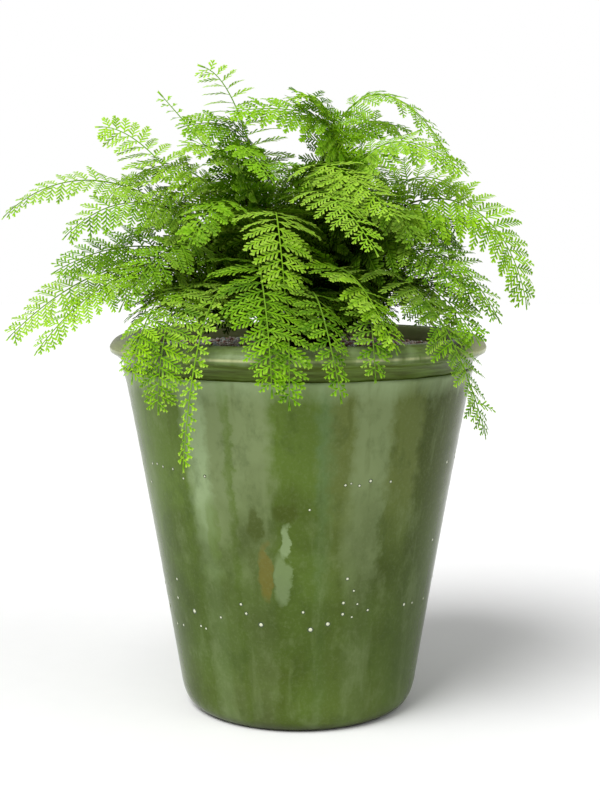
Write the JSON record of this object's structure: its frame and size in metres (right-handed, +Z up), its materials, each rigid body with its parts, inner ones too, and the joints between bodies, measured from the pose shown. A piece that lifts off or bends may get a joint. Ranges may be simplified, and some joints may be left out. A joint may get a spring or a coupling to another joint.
{
  "type": "potted mother fern",
  "caption": "House plant: a finely divided, arching mother fern growing in a flared, rimmed, glazed clay pot topped with clay granules.",
  "frame": {"origin": "middle of the pot's flat base, on the surface that it stands on", "axes": "+Z up along the pot's axis; the side of the plant that is seen first faces -Y"},
  "size_m": [0.4124, 0.3527, 0.512],
  "materials": {
    "celadon_glaze": "glossy, mottled green and olive glaze with runs and pinholes",
    "potting_soil": "moist dark potting mix of bark and peat",
    "clay_granules": "matt mixed granules, reddish brown, pale pink and grey",
    "crown_scales": "dark scaly rhizome",
    "fresh_green": "young fern blade, yellow green, soft sheen",
    "mid_green": "grown fern blade, mid green, soft sheen",
    "deep_green": "old fern blade, deep green, soft sheen"
  },
  "bodies": {
    "root": {"pot": "celadon_glaze", "soil": "potting_soil", "granules": "clay_granules", "crown": "crown_scales", "frond_01": "fresh_green", "frond_02": "fresh_green", "frond_03": "fresh_green", "frond_04": "mid_green", "frond_05": "mid_green", "frond_06": "mid_green", "frond_07": "deep_green", "frond_08": "fresh_green", "frond_09": "mid_green", "frond_10": "fresh_green", "frond_11": "fresh_green", "frond_12": "mid_green", "frond_13": "mid_green", "frond_14": "deep_green", "frond_15": "fresh_green", "frond_16": "fresh_green", "frond_17": "fresh_green", "frond_18": "mid_green", "frond_19": "fresh_green", "frond_20": "fresh_green", "frond_21": "mid_green", "frond_22": "deep_green", "frond_23": "mid_green", "frond_24": "mid_green", "frond_25": "fresh_green", "frond_26": "deep_green", "frond_27": "mid_green", "frond_28": "mid_green", "frond_29": "fresh_green", "frond_30": "fresh_green", "frond_31": "fresh_green", "frond_32": "deep_green", "frond_33": "mid_green", "frond_34": "mid_green", "frond_35": "mid_green", "frond_36": "fresh_green", "frond_37": "mid_green", "frond_38": "fresh_green", "frond_39": "deep_green", "frond_40": "mid_green", "frond_41": "mid_green", "frond_42": "fresh_green", "frond_43": "fresh_green", "frond_44": "deep_green", "frond_45": "mid_green", "frond_46": "fresh_green", "frond_47": "mid_green", "frond_48": "deep_green", "frond_49": "mid_green", "frond_50": "fresh_green", "frond_51": "deep_green", "frond_52": "deep_green", "frond_53": "mid_green", "frond_54": "fresh_green", "frond_55": "mid_green", "frond_56": "deep_green"}
  },
  "joints": []
}
